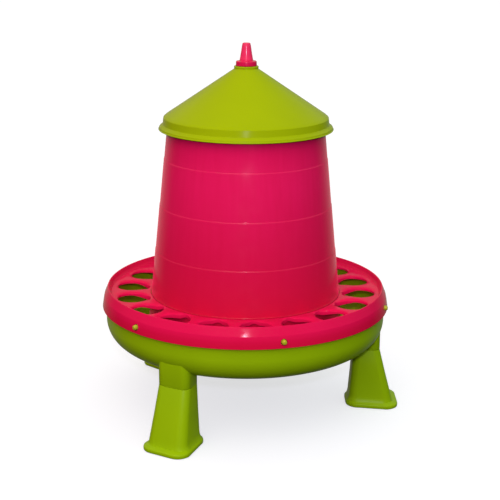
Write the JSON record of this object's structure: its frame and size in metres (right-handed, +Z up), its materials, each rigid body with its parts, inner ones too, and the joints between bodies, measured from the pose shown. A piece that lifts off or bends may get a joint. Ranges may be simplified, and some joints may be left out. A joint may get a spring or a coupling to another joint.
{
  "type": "poultry feeder",
  "caption": "Gravity poultry feeder: tapered hopper with a conical lid in a round tray, under a grille ring with openings, on push-on legs.",
  "frame": {"origin": "the floor point under the feeder's axis", "axes": "+Z up along the feeder's axis, -Y towards the front, one leg on +X"},
  "size_m": [0.398, 0.3801, 0.487],
  "materials": {
    "lime": "satin moulded",
    "pink": "glossy moulded",
    "steel": "zinc plated"
  },
  "bodies": {
    "tray": {"tray": "lime", "feed_cone": "lime", "cone_bolt": "steel", "cone_washer": "steel", "cone_nut": "steel"},
    "ring": {"anti_waste_ring": "pink", "ring_peg_1": "lime", "ring_peg_2": "lime", "ring_peg_3": "lime", "ring_peg_4": "lime", "ring_peg_5": "lime", "ring_peg_6": "lime"},
    "hopper": {"hopper": "pink"},
    "lid": {"lid": "lime"},
    "knob": {"lid_knob": "pink"},
    "leg_1": {"leg_1": "lime"},
    "leg_2": {"leg_2": "lime"},
    "leg_3": {"leg_3": "lime"}
  },
  "joints": [
    {"name": "hopper_twist", "type": "hinge", "parent": "tray", "child": "hopper", "pos_m": [0, 0, 0.1], "axis": [0, 0, 1], "range_deg": [0, 20]},
    {"name": "ring_twist", "type": "hinge", "parent": "tray", "child": "ring", "pos_m": [0, 0, 0.15], "axis": [0, 0, 1], "range_deg": [0, 8]},
    {"name": "lid_lift", "type": "slide", "parent": "hopper", "child": "lid", "axis": [0, 0, 1], "range_m": [0, 0.12]},
    {"name": "knob_turn", "type": "hinge", "parent": "lid", "child": "knob", "pos_m": [0, 0, 0.458], "axis": [0, 0, 1], "range_deg": [0, 90]},
    {"name": "leg_1_pull", "type": "slide", "parent": "tray", "child": "leg_1", "axis": [0, 0, -1], "range_m": [0, 0.028]},
    {"name": "leg_2_pull", "type": "slide", "parent": "tray", "child": "leg_2", "axis": [0, 0, -1], "range_m": [0, 0.028]},
    {"name": "leg_3_pull", "type": "slide", "parent": "tray", "child": "leg_3", "axis": [0, 0, -1], "range_m": [0, 0.028]}
  ]
}
